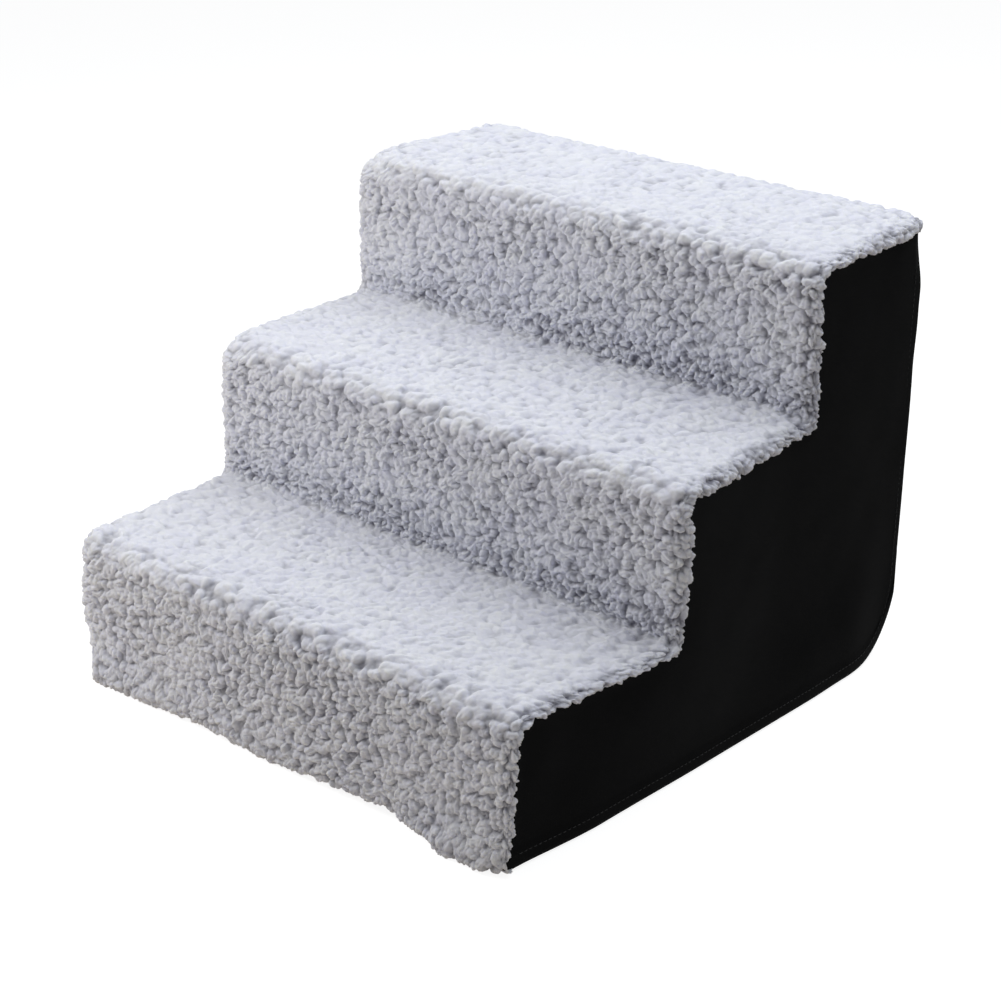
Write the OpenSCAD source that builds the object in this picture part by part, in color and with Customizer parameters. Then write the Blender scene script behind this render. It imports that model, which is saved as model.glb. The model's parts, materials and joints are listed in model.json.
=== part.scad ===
// Three-step pet stairs: a knock-down moulded frame under a pull-off cover of fleece and black cloth.
// X is the width, Y runs from the front to the back, Z is up.
// The origin is the middle of the footprint, on the floor.

/* [Stairs] */
// Width over the two black side cloths at their ends
body_w = 390; // [320:2:520]
// Height of each step
rise = 103; // [90:1:130]
// Depth of the lowest tread, from its nose to the next riser
low_going = 140; // [120:1:180]
// Depth of the middle tread, from its nose to the next riser
mid_going = 142; // [120:1:180]
// Depth of the top tread, from its nose to the back
top_going = 126; // [122:1:180]
// Radius of the lower rear corner of the sides
rear_r = 58; // [48:1:66]

/* [Cover] */
// Thickness of the fleece with its pile
fleece_t = 9; // [6:0.5:12]
// Radius of the fleece over each nose
nose_r = 16; // [14:1:22]
// Radius of the pile in the foot of each riser
crook_r = 8; // [4:1:12]
// Reach of the fleece's edge roll over the side and back cloths
roll_w = 16; // [14:1:24]
// How far the fleece's edge roll stands out from the cloths
roll_t = 3.7; // [2:0.1:6]
// Radius of the fleece along the top rear edge
rear_edge_r = 7; // [4:0.5:9]
// Thickness of the black cloth
cloth_t = 1.2; // [0.8:0.1:2]
// How far the sides of the cover swell out in their middle
side_swell = 11; // [4:1:16]
// Height of the cover's hem above the floor
hem_z = 2; // [1:0.5:4]

/* [Frame] */
// Wall of the moulded boards and panels
wall_t = 2.5; // [2:0.1:3.5]
// Depth of the riser boards and back boards
board_t = 12; // [9:1:16]
// Depth of the tread boards
tread_t = 16; // [13:1:22]
// Width of the side panels' flanges
flange_w = 14; // [13:1:20]
// Width of the side panels' bottom rails
rail_w = 24; // [21:1:32]
// Width of a window in the side panels
window_w = 34; // [20:1:38]
// Corner radius of a window
window_r = 6; // [3:1:9]
// Web between two windows
web_w = 8; // [6:1:16]
// Solid band along the bottom of each side panel
band_h = 30; // [28:1:40]
// Most that a rib cell of a board measures along X
cell_x = 64; // [40:1:80]
// Most that a rib cell of a board measures the other way
cell_z = 38; // [24:1:40]

/* [Fasteners] */
// Diameter of a push pin's shank
pin_d = 5.6; // [4:0.2:6.4]
// Diameter of a push pin's head
pin_head_d = 10.5; // [8:0.5:11]
// Thickness of a push pin's head
pin_head_t = 1.8; // [1.2:0.1:2.2]
// Wall of a boss round a push pin's head
boss_wall = 1.2; // [0.8:0.1:1.6]
// Length of a push pin's split tip past the wall it holds
pin_tip_l = 4; // [3:0.5:6]
// Diameter of the dowels between the tread boards and the side panels
dowel_d = 8; // [6:0.5:9]
// Length of a dowel, half of it up in the tread board
dowel_l = 18; // [12:1:20]
// Diameter of the steel tie tubes
tube_d = 16; // [12:1:20]
// Wall of the steel tie tubes
tube_wall = 1.2; // [0.8:0.1:2]
// Width of the hook and loop strips
strip_w = 20; // [14:1:24]
// Thickness of a loop strip
loop_t = 0.7; // [0.5:0.1:0.8]
// Length of the front and rear strips
strip_l = 240; // [120:10:280]

/* [Feet] */
// Height of a rubber foot
foot_h = 5; // [4:0.5:8]
// Diameter of a rubber foot
foot_d = 20; // [14:1:20]
// Diameter of a foot's stem
foot_stem_d = 7; // [5:0.5:8]

/* [Fits] */
// Gap between the cover and the frame all round
cover_play = 1.5; // [1.3:0.1:2.5]
// Gap where a soft piece rests on its neighbour
seat_gap = 0.3; // [0.2:0.05:0.4]
// Gap round a pin, dowel, stem or tube in its hole
fit_gap = 0.1; // [0.05:0.05:0.2]

/* [Hidden] */
$fn = 64;
// Facets of the large arc in the swell of the sides
swell_fn = 720;
// Overrun of every cut past the face that it opens
over = 1;

// Cover, from the outside in
depth = low_going + mid_going + top_going;
nose_y = [-depth / 2, -depth / 2 + low_going, -depth / 2 + low_going + mid_going];
back_y = depth / 2;
tread_z = [rise, 2 * rise, 3 * rise];
cloth_back_y = back_y - roll_t;
cloth_in_x = body_w / 2 - cloth_t;
cover_reach = body_w + 2 * (side_swell + roll_t + over);

// Frame under the cover
frame_w = body_w - 2 * (cloth_t + cover_play);
face_y = [for (y = nose_y) y + fleece_t + cover_play];
board_back_y = cloth_back_y - cloth_t - cover_play;
top_z = [for (z = tread_z) z - fleece_t - seat_gap];
deck_z = [for (z = top_z) z - tread_t];
panel_y = [for (y = face_y) y + board_t];
panel_back_y = board_back_y - board_t;
frame_nose_r = nose_r - fleece_t;
kick_r = rear_r - cloth_t - cover_play;
kick_y = board_back_y - kick_r;
kick_z = foot_h + kick_r;
back_board_h = (deck_z[2] - kick_z) / 2;

// Fasteners, from the pieces that they join
pin_x = frame_w / 2 - wall_t - pin_head_d / 2 - seat_gap;
boss_r = pin_head_d / 2 + boss_wall;
dowel_hole_r = dowel_d / 2 + fit_gap;
pin_share = 0.25;
hook_t = cover_play - loop_t - seat_gap;
strip_z = foot_h + (band_h - strip_w) / 2;
swell_y0 = panel_y[0] + strip_w + 2 * seat_gap;
swell_half = (cloth_back_y - swell_y0) / 2;
swell_r = (pow(swell_half, 2) + pow(side_swell, 2)) / (2 * side_swell);
socket_in_r = tube_d / 2 + fit_gap;
socket_out_r = socket_in_r + wall_t;
tube_z = foot_h + band_h / 2;
tube_y = [panel_y[1] + flange_w, panel_y[2] + flange_w];
foot_x = frame_w / 2 - rail_w / 2;
foot_y = [panel_y[0] + foot_d, (panel_y[1] + panel_y[2]) / 2, kick_y - foot_d / 2 - seat_gap];
stem_h = wall_t + fit_gap;
stem_tip_h = foot_stem_d / 2;

fleece_colour = "#d9dbe4";
cloth_colour = "#131415";
frame_colour = "#2f3133";
rubber_colour = "#1a1a1b";
steel_colour = "#9a9da1";
strip_colour = "#0c0c0d";

// Draws a section in Y and Z and extrudes it along X from at
module along_x(length, at) {
    translate([at, 0, 0]) rotate([90, 0, 90]) linear_extrude(height = length) children();
}

// Extrudes a section in Y and Z to both sides of the middle
module across(width) {
    along_x(width, -width / 2) children();
}

// Puts a piece on the right for a side of 1 and on the left for -1
module on_side(side) {
    if (side > 0) children();
    else mirror([1, 0, 0]) children();
}

// Rectangle whose front top corner is rounded
module nosed_rect(y0, y1, z0, z1, r) {
    if (r > 0) {
        difference() {
            translate([y0, z0]) square([y1 - y0, z1 - z0]);
            translate([y0 - over, z1 - r]) square([r + over, r + over]);
        }
        translate([y0 + r, z1 - r]) circle(r);
    } else {
        translate([y0, z0]) square([y1 - y0, z1 - z0]);
    }
}

// Side view of the steps, drawn in by inset from the pile's surface
module stair_outline(inset, rear, bottom) {
    for (i = [0:2])
        nosed_rect(nose_y[i] + inset, rear, bottom, tread_z[i] - inset, nose_r - inset);
}

// What a rounded lower rear corner takes off a rectangle
module rear_corner(y_edge, z_edge, r) {
    difference() {
        translate([y_edge - r, z_edge - over]) square([r + over, r + over]);
        translate([y_edge - r, z_edge + r]) circle(r);
    }
}

// Side view of the steps with the pile in the foot of each riser and the rounded rear edge
module pile_outline() {
    difference() {
        union() {
            stair_outline(0, back_y, hem_z);
            for (i = [0:1])
                difference() {
                    translate([nose_y[i + 1] - crook_r, tread_z[i] - over])
                        square([crook_r + over, crook_r + over]);
                    translate([nose_y[i + 1] - crook_r, tread_z[i] + crook_r]) circle(crook_r);
                }
        }
        difference() {
            translate([back_y - rear_edge_r, tread_z[2] - rear_edge_r])
                square([rear_edge_r + over, rear_edge_r + over]);
            translate([back_y - rear_edge_r, tread_z[2] - rear_edge_r]) circle(rear_edge_r);
        }
    }
}

// Plan of the right half of the cover, standing off by out from the side cloth's outer face:
// flat in front, where the strips hold it, and swelled in an arc from there to the back
module side_plan(out) {
    long = back_y - nose_y[0] + 2 * over;
    translate([0, nose_y[0] - over]) square([body_w / 2 + out, long]);
    intersection() {
        translate([0, nose_y[0] - over]) square([body_w, long]);
        translate([body_w / 2 + side_swell - swell_r, swell_y0 + swell_half])
            circle(swell_r + out, $fn = swell_fn);
    }
}

// Stands a plan up past the cover's top and bottom
module upright() {
    translate([0, 0, -over]) linear_extrude(height = tread_z[2] + 2 * over) children();
}

// Upright band along one side, between two distances out from the side cloth's outer face
module side_band(side, inner, outer) {
    on_side(side)
        upright()
            difference() {
                side_plan(outer);
                side_plan(inner);
            }
}

// Fleece over every riser and tread, with its edge rolled over the sides and the back
module fleece_runner() {
    color(fleece_colour) {
        intersection() {
            for (side = [-1, 1]) on_side(side) upright() side_plan(roll_t);
            across(cover_reach)
                difference() {
                    pile_outline();
                    stair_outline(fleece_t, cloth_back_y + seat_gap, hem_z - over);
                    translate([cloth_back_y + seat_gap - over, hem_z - over])
                        square([roll_t + 2 * over, tread_z[2] - roll_w - hem_z + over]);
                }
        }
        for (side = [-1, 1])
            intersection() {
                side_band(side, seat_gap, roll_t);
                across(cover_reach)
                    difference() {
                        pile_outline();
                        stair_outline(roll_w, back_y + over, hem_z - over);
                    }
            }
    }
}

module side_cloth(side) {
    color(cloth_colour)
        intersection() {
            side_band(side, -cloth_t, 0);
            across(cover_reach)
                difference() {
                    stair_outline(fleece_t + seat_gap, cloth_back_y, hem_z);
                    rear_corner(cloth_back_y, hem_z, rear_r);
                }
        }
}

module back_cloth() {
    bottom = hem_z + rear_r;
    color(cloth_colour)
        translate([-cloth_in_x, cloth_back_y - cloth_t, bottom])
            cube([2 * cloth_in_x, cloth_t, tread_z[2] - fleece_t - seat_gap - bottom]);
}

// Square patch on a side, behind the front, thickness t outwards from x
module side_strip(side, x, t) {
    color(strip_colour)
        on_side(side)
            translate([x, panel_y[0] + seat_gap, strip_z]) cube([t, strip_w, strip_w]);
}

// Strip across the front or the back, thickness t backwards from y
module cross_strip(y, t, z) {
    color(strip_colour)
        translate([-strip_l / 2, y, z]) cube([strip_l, t, strip_w]);
}

module loop_strip_front() {
    cross_strip(face_y[0] - cover_play, loop_t, strip_z);
}

module loop_strip_rear() {
    cross_strip(board_back_y + cover_play - loop_t, loop_t, kick_z + flange_w / 2);
}

module hook_strip_front() {
    cross_strip(face_y[0] - hook_t, hook_t, strip_z);
}

module hook_strip_rear() {
    cross_strip(board_back_y, hook_t, kick_z + flange_w / 2);
}

// Number of rib cells along a length
function cells(length, most) = ceil((length - wall_t) / (most + wall_t));

// Pockets between the ribs of a board, open at z = 0 and deep upwards
module pockets(x_len, y_len, deep) {
    nx = cells(x_len, cell_x);
    ny = cells(y_len, cell_z);
    dx = (x_len - wall_t) / nx;
    dy = (y_len - wall_t) / ny;
    for (i = [0:nx - 1], j = [0:ny - 1])
        translate([i * dx + wall_t, j * dy + wall_t, -over])
            cube([dx - wall_t, dy - wall_t, deep + over]);
}

// Pin places up a piece from z0 to z1
function pin_places(z0, z1) = [z0 + pin_share * (z1 - z0), z1 - pin_share * (z1 - z0)];

// Board with ribs behind: its outer face is at y = 0, it is open at y = board_t and starts at z = 0
module ribbed_board(h) {
    difference() {
        union() {
            difference() {
                translate([-frame_w / 2, 0, 0]) cube([frame_w, board_t, h]);
                translate([-frame_w / 2, board_t, 0]) rotate([90, 0, 0])
                    pockets(frame_w, h, board_t - wall_t);
            }
            for (side = [-1, 1], z = pin_places(0, h))
                translate([side * pin_x, board_t, z]) rotate([90, 0, 0])
                    cylinder(r = boss_r, h = board_t - wall_t / 2);
        }
        for (side = [-1, 1], z = pin_places(0, h))
            translate([side * pin_x, 0, z]) rotate([-90, 0, 0]) {
                translate([0, 0, -over])
                    cylinder(r = pin_d / 2 + fit_gap, h = board_t + 2 * over);
                translate([0, 0, -over])
                    cylinder(r = pin_head_d / 2 + fit_gap, h = pin_head_t + fit_gap + over);
            }
    }
}

module riser_board(i) {
    z0 = i == 0 ? foot_h : top_z[i - 1];
    color(frame_colour)
        translate([0, face_y[i], z0]) ribbed_board(deck_z[i] - z0);
}

module back_board(z0) {
    color(frame_colour)
        translate([0, board_back_y, z0]) mirror([0, 1, 0]) ribbed_board(back_board_h);
}

// Dowel places along a tread board, over the side panel below it
function dowel_places(i) =
    let (y0 = panel_y[i], y1 = i == 2 ? panel_back_y : panel_y[i + 1])
    [y0 + flange_w, y1 - flange_w];

// Tread board with a rounded nose, ribs below and four bosses for the dowels
module tread_board(i) {
    y0 = face_y[i];
    y1 = i == 2 ? board_back_y : panel_y[i + 1];
    rib_y0 = y0 + frame_nose_r - wall_t;
    color(frame_colour)
        difference() {
            union() {
                difference() {
                    across(frame_w) nosed_rect(y0, y1, deck_z[i], top_z[i], frame_nose_r);
                    translate([-frame_w / 2, rib_y0, deck_z[i]])
                        pockets(frame_w, y1 - rib_y0, tread_t - wall_t);
                }
                for (side = [-1, 1], y = dowel_places(i))
                    translate([side * pin_x, y, deck_z[i]])
                        cylinder(r = dowel_hole_r + wall_t, h = tread_t - wall_t / 2);
            }
            for (side = [-1, 1], y = dowel_places(i))
                translate([side * pin_x, y, deck_z[i] - over])
                    cylinder(r = dowel_hole_r, h = over + dowel_l / 2 + fit_gap);
        }
}

// Dowels that hold the tread boards on the side panels
module tread_dowels() {
    color(frame_colour)
        for (i = [0:2], side = [-1, 1], y = dowel_places(i))
            translate([side * pin_x, y, deck_z[i] - dowel_l / 2])
                cylinder(d = dowel_d, h = dowel_l);
}

// Rounded window, its lower corner at the origin
module window(w, h) {
    translate([window_r, 0]) square([w - 2 * window_r, h]);
    translate([0, window_r]) square([w, h - 2 * window_r]);
    for (y = [window_r, w - window_r], z = [window_r, h - window_r])
        translate([y, z]) circle(window_r);
}

// Windows over a skin from y0 to y1 and z0 to z1
module windows(y0, y1, z0, z1) {
    ny = floor((y1 - y0 + web_w) / (window_w + web_w));
    nz = floor((z1 - z0 + web_w) / (window_w + web_w));
    pitch = window_w + web_w;
    first_y = (y0 + y1 - ny * pitch + web_w) / 2;
    first_z = (z0 + z1 - nz * pitch + web_w) / 2;
    if (ny > 0 && nz > 0)
        for (j = [0:ny - 1], k = [0:nz - 1])
            translate([first_y + j * pitch, first_z + k * pitch]) window(window_w, window_w);
}

// Outline of a side panel, drawn in by inset; the top one makes room for the kick board
module panel_outline(i, inset) {
    y1 = i == 2 ? panel_back_y : panel_y[i + 1];
    z0 = foot_h + inset;
    difference() {
        translate([panel_y[i] + inset, z0])
            square([y1 - panel_y[i] - 2 * inset, deck_z[i] - foot_h - 2 * inset]);
        if (i == 2)
            difference() {
                translate([kick_y - inset, foot_h - over])
                    square([kick_r + inset + over, kick_r + over]);
                translate([kick_y, kick_z]) circle(kick_r - board_t - fit_gap - inset);
                translate([kick_y - inset - over, kick_z - kick_r + board_t + fit_gap + inset])
                    square([inset + over, kick_r]);
            }
    }
}

// Side panel: a skin with windows, flanges all round and a bottom rail for the feet
module side_panel(i, side) {
    y0 = panel_y[i];
    y1 = i == 2 ? panel_back_y : panel_y[i + 1];
    rail_y1 = i == 2 ? kick_y : y1;
    window_z0 = i == 2 ? kick_z : foot_h + band_h;
    color(frame_colour)
        on_side(side)
            difference() {
                union() {
                    along_x(wall_t, frame_w / 2 - wall_t)
                        difference() {
                            panel_outline(i, 0);
                            windows(y0 + web_w, y1 - web_w, window_z0, deck_z[i] - web_w);
                        }
                    along_x(flange_w, frame_w / 2 - flange_w)
                        difference() {
                            panel_outline(i, 0);
                            panel_outline(i, wall_t);
                        }
                    translate([frame_w / 2 - rail_w, y0, foot_h])
                        cube([rail_w, rail_y1 - y0, wall_t]);
                    if (i > 0)
                        translate([frame_w / 2 - flange_w, tube_y[i - 1], tube_z]) rotate([0, 90, 0])
                            cylinder(r = socket_out_r, h = flange_w);
                }
                if (i > 0)
                    translate([frame_w / 2 - wall_t, tube_y[i - 1], tube_z]) rotate([0, -90, 0])
                        cylinder(r = socket_in_r, h = flange_w);
                for (y = dowel_places(i))
                    translate([pin_x, y, deck_z[i] - wall_t - over])
                        cylinder(r = dowel_hole_r, h = wall_t + 2 * over);
                translate([foot_x, foot_y[i], foot_h - over])
                    cylinder(r = foot_stem_d / 2 + fit_gap, h = wall_t + 2 * over);
                side_pin_holes(i);
            }
}

// Holes along Y through a side panel's front and rear flanges
module side_pin_holes(i) {
    riser_z0 = i == 0 ? foot_h : top_z[i - 1];
    for (z = pin_places(riser_z0, deck_z[i])) flange_hole(panel_y[i], z);
    if (i > 0)
        for (z = panel_pin_places(i - 1)) flange_hole(panel_y[i], z);
    if (i < 2)
        for (z = panel_pin_places(i)) flange_hole(panel_y[i + 1] - wall_t, z);
    if (i == 2) {
        for (k = [0:1], z = pin_places(0, back_board_h))
            flange_hole(panel_back_y - wall_t, kick_z + k * back_board_h + z);
        at_kick_pin() cylinder(r = pin_d / 2 + fit_gap, h = kick_r);
    }
}

// Heights of the pins that join panel i to the next one behind it
function panel_pin_places(i) = [tube_z + socket_out_r + boss_r, deck_z[i] - flange_w];

module flange_hole(y, z) {
    translate([pin_x, y - over, z]) rotate([-90, 0, 0])
        cylinder(r = pin_d / 2 + fit_gap, h = wall_t + 2 * over);
}

// Axis of a kick board pin on the right: out along the diagonal of the rounded corner
module at_kick_pin() {
    translate([pin_x, kick_y, kick_z]) rotate([-135, 0, 0]) children();
}

// Curved board that closes the lower rear corner
module kick_board() {
    ribs = cells(frame_w, cell_x);
    pitch = (frame_w - wall_t) / ribs;
    color(frame_colour)
        difference() {
            union() {
                across(frame_w) kick_sector(wall_t);
                for (i = [0:ribs])
                    along_x(wall_t, -frame_w / 2 + i * pitch) kick_sector(board_t);
                across(frame_w)
                    translate([kick_y, kick_z]) {
                        translate([kick_r - board_t, -wall_t]) square([board_t - wall_t / 2, wall_t]);
                        translate([0, wall_t / 2 - kick_r]) square([wall_t, board_t - wall_t / 2]);
                    }
                for (side = [-1, 1])
                    on_side(side) at_kick_pin()
                        translate([0, 0, kick_r - board_t + fit_gap])
                            cylinder(r = boss_r, h = board_t - wall_t / 2);
            }
            for (side = [-1, 1])
                on_side(side) at_kick_pin() {
                    cylinder(r = pin_d / 2 + fit_gap, h = kick_r + over);
                    translate([0, 0, kick_r - pin_head_t - 2 * fit_gap])
                        cylinder(r = pin_head_d / 2 + fit_gap, h = pin_head_t + over);
                }
        }
}

// Quarter ring of the kick board, thick inwards
module kick_sector(thick) {
    translate([kick_y, kick_z])
        intersection() {
            difference() {
                circle(kick_r);
                circle(kick_r - thick);
            }
            translate([0, -kick_r]) square(kick_r);
        }
}

module tie_tube(k) {
    length = frame_w - 2 * wall_t - 2 * fit_gap;
    color(steel_colour)
        translate([-length / 2, tube_y[k], tube_z]) rotate([0, 90, 0])
            difference() {
                cylinder(d = tube_d, h = length);
                translate([0, 0, -over])
                    cylinder(d = tube_d - 2 * tube_wall, h = length + 2 * over);
            }
}

// Rubber foot with a stem through the bottom rail and a wider tip above it
module foot(i, side) {
    tip_r = foot_stem_d / 2;
    color(rubber_colour)
        translate([side * foot_x, foot_y[i], 0]) {
            cylinder(d = foot_d, h = foot_h);
            cylinder(d = foot_stem_d, h = foot_h + stem_h);
            translate([0, 0, foot_h + stem_h])
                cylinder(r1 = tip_r + 2 * fit_gap, r2 = tip_r / 2, h = stem_tip_h);
        }
}

// Push pin: the head's outer face is at z = 0 and the shank runs up through grip
module push_pin(grip) {
    shank_l = grip + fit_gap;
    cylinder(d = pin_head_d, h = pin_head_t);
    cylinder(d = pin_d, h = shank_l);
    translate([0, 0, shank_l])
        cylinder(r1 = pin_d / 2 + 2 * fit_gap, r2 = pin_d / 4, h = pin_tip_l);
}

// Pins through the riser boards into the side panels
module riser_pins() {
    color(frame_colour)
        for (i = [0:2], side = [-1, 1]) {
            z0 = i == 0 ? foot_h : top_z[i - 1];
            for (z = pin_places(z0, deck_z[i]))
                translate([side * pin_x, face_y[i] + fit_gap, z]) rotate([-90, 0, 0])
                    push_pin(board_t + wall_t);
        }
}

// Pins through the back boards and the kick board into the top side panels
module back_pins() {
    color(frame_colour)
        for (side = [-1, 1]) {
            for (k = [0:1], z = pin_places(0, back_board_h))
                translate([side * pin_x, board_back_y - fit_gap, kick_z + k * back_board_h + z])
                    rotate([90, 0, 0]) push_pin(board_t + wall_t);
            on_side(side) at_kick_pin()
                translate([0, 0, kick_r - fit_gap]) rotate([180, 0, 0])
                    push_pin(board_t + wall_t);
        }
}

// Pins that join each side panel to the next one behind it
module panel_pins() {
    color(frame_colour)
        for (i = [0:1], side = [-1, 1], z = panel_pin_places(i))
            translate([side * pin_x, panel_y[i + 1] - wall_t - pin_head_t, z]) rotate([-90, 0, 0])
                push_pin(pin_head_t + 2 * wall_t);
}

fleece_runner();
side_cloth(-1);  // side_cloth_left
side_cloth(1);  // side_cloth_right
back_cloth();
side_strip(-1, cloth_in_x - loop_t, loop_t);  // loop_strip_left
side_strip(1, cloth_in_x - loop_t, loop_t);  // loop_strip_right
loop_strip_front();
loop_strip_rear();
tread_board(0);  // tread_board_low
tread_board(1);  // tread_board_mid
tread_board(2);  // tread_board_top
riser_board(0);  // riser_board_low
riser_board(1);  // riser_board_mid
riser_board(2);  // riser_board_top
side_panel(0, -1);  // side_panel_low_left
side_panel(0, 1);  // side_panel_low_right
side_panel(1, -1);  // side_panel_mid_left
side_panel(1, 1);  // side_panel_mid_right
side_panel(2, -1);  // side_panel_top_left
side_panel(2, 1);  // side_panel_top_right
back_board(kick_z + back_board_h);  // back_board_upper
back_board(kick_z);  // back_board_lower
kick_board();
tie_tube(0);  // tie_tube_front
tie_tube(1);  // tie_tube_rear
foot(0, -1);  // foot_front_left
foot(0, 1);  // foot_front_right
foot(1, -1);  // foot_mid_left
foot(1, 1);  // foot_mid_right
foot(2, -1);  // foot_rear_left
foot(2, 1);  // foot_rear_right
riser_pins();
back_pins();
panel_pins();
tread_dowels();
side_strip(-1, frame_w / 2, hook_t);  // hook_strip_left
side_strip(1, frame_w / 2, hook_t);  // hook_strip_right
hook_strip_front();
hook_strip_rear();
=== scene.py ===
import json
import math

import bpy
import numpy as np
from mathutils import Matrix, Vector

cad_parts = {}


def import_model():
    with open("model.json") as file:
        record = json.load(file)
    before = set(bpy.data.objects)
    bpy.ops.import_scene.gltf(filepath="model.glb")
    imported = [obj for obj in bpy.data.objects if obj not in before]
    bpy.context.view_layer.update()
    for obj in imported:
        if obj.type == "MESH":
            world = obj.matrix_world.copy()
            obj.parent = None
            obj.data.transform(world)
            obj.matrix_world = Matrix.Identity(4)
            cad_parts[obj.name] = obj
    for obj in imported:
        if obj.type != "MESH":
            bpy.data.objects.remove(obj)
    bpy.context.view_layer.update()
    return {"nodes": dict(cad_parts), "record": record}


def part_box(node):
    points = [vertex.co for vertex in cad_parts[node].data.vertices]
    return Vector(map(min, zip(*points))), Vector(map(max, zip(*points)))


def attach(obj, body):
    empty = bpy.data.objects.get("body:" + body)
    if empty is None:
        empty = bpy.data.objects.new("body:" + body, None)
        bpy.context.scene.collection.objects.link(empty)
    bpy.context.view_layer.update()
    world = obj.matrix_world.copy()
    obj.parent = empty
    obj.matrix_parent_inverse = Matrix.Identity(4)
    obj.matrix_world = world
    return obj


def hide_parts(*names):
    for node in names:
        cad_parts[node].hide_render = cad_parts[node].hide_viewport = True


MM = 0.001
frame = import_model()

# Sizes of the cover, as in the CAD model
FLEECE_T = 9 * MM
COVER_PLAY = 1.5 * MM
SEAT_GAP = 0.3 * MM
NOSE_R = 16 * MM
REAR_EDGE_R = 7 * MM
CLOTH_T = 1.2 * MM
ROLL_T = 3.7 * MM
SIDE_SWELL = 11 * MM

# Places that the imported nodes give
RISERS = ("riser_board_low", "riser_board_mid", "riser_board_top")
TREADS = ("tread_board_low", "tread_board_mid", "tread_board_top")
NOSE_Y = [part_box(n)[0].y - FLEECE_T - COVER_PLAY for n in RISERS]
TREAD_Z = [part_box(n)[1].z + FLEECE_T + SEAT_GAP for n in TREADS]
BACK_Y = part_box("fleece_runner")[1].y
HEM_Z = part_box("fleece_runner")[0].z
HALF_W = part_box("fleece_runner")[1].x - SIDE_SWELL
CLOTH_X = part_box("side_cloth_right")[1].x - SIDE_SWELL
CLOTH_BACK_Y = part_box("side_cloth_right")[1].y

# Fineness of the fleece's mesh
GRID = 0.82 * MM

# Pile: the tufts' size, and how far they stand out
TUFT = 5.8 * MM
BIG_TUFT = 9 * MM
SMALL_TUFT = 3.8 * MM
TUFT_STRETCH = 1.15
RISER_PILE = 4.8 * MM
TREAD_PILE = 4.0 * MM
ROLL_PILE = 5.2 * MM
# How far the fuller noses and the finer feet of the risers reach along the runner
NOSE_RUN = 17 * MM
FOOT_RUN = 15 * MM
FOOT_PAST = 9 * MM
# How much lighter or darker the pile's colour is painted there, on the treads' lips, at the runner's edges
# and behind: a painted highlight on the noses, painted shade at the risers' feet and on the treads' lips
NOSE_PAINTED_LIGHT = 0.06
FOOT_PAINTED_SHADE = -0.14
LIP_PAINTED_SHADE = -0.13
EDGE_SHADE = 0.6
BACK_SHADE = 0.5

# The runner's turns: in the crooks, at the front hem and down the rear
CROOK_R = 4.5 * MM
HEM_R = 7 * MM
HEM_BACK = 2.2 * HEM_R
REAR_DROP = 13 * MM
REAR_DROP_R = 2.5 * MM
# The share of its thickness that the runner keeps at both ends and on the noses
HEM_SHRINK = 0.4
REAR_SHRINK = 0.4
NOSE_SHRINK = 0.6
SHRINK_RUN = 14 * MM
# How far its hem is drawn in behind the side cloths, its least gap to the floor, its pile's run-out behind
HEM_TUCK = 7 * MM
FLOOR_GAP = 0.3 * MM
REAR_FADE = 20 * MM
# Columns of its plain back
UNDER_COLUMNS = 12

# The roll over each side's edge: left, right
EDGE_R = (17 * MM, 12.5 * MM)
LIP_DEPTH = (20 * MM, 16 * MM)
LIP_SCALLOP = 5.8 * MM
# Radius at which the tufts along a lip's border are counted off round a turn
RIM_R = 8 * MM
# Depth of the right lip from its foot up: on risers and treads, and on the noses and crooks between
RIGHT_LIP = np.array([2.2, 5.0, 6.6, 6.4, 4.0, 11.6, 9.6, 10.4, 8.6, 9.6, 5.6, 9.8]) * MM
LIP_FOOT = 8 * MM
# How deep under the fleece's face the edges of the side cloths lie, at each step
LEFT_INSET = np.full(3, 10.5) * MM
RIGHT_INSET = np.array([3.7, 5.5, 5.5]) * MM


def smoothstep(t):
    t = np.clip(t, 0, 1)
    return t * t * (3 - 2 * t)


def rounded_path(corners, radii):
    """Lines and arcs along a polyline with rounded corners, as (kind, start length, length, data)."""
    corners = np.array(corners)
    ways = np.diff(corners, axis=0)
    ways /= np.linalg.norm(ways, axis=1)[:, None]
    parts, at, done = [], corners[0], 0.0
    for corner, way, after, r in zip(corners[1:], ways, [*ways[1:], ways[-1]], [*radii, 0]):
        turn = math.atan2(way[0] * after[1] - way[1] * after[0], float(way @ after))
        cut = r * math.tan(abs(turn) / 2)
        length = float((corner - way * cut - at) @ way)
        parts.append(("line", done, length, (at, way)))
        done += length
        if r > 0:
            side = 1 if turn > 0 else -1
            normal = np.array([-way[1], way[0]])
            centre = corner - way * cut + normal * side * r
            parts.append(("arc", done, r * abs(turn), (centre, r, side, normal)))
            done += r * abs(turn)
            at = corner + after * cut
    return parts, done


def along(parts, s):
    """Point and outward normal at each length s along a rounded path."""
    point = np.zeros((len(s), 2))
    normal = np.zeros((len(s), 2))
    for kind, start, length, data in parts:
        here = (s >= start - 1e-9) & (s <= start + length + 1e-9)
        t = s[here] - start
        if kind == "line":
            at, d = data
            point[here] = at + t[:, None] * d
            normal[here] = (-d[1], d[0])
        else:
            centre, r, side, n0 = data
            a = side * t / r
            c, q = np.cos(a), np.sin(a)
            n = np.stack([c * n0[0] - q * n0[1], q * n0[0] + c * n0[1]], 1)
            normal[here] = n
            point[here] = centre - side * r * n
    return point, normal


def bend(parts, s):
    """How far the path has turned towards its outer side at lengths s, in radians."""
    places, turned = [0.0], [0.0]
    for kind, start, length, data in parts:
        places.append(start + length)
        turned.append(turned[-1] + (data[2] * length / data[1] if kind == "arc" else 0.0))
    return np.interp(s, places, turned)


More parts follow.
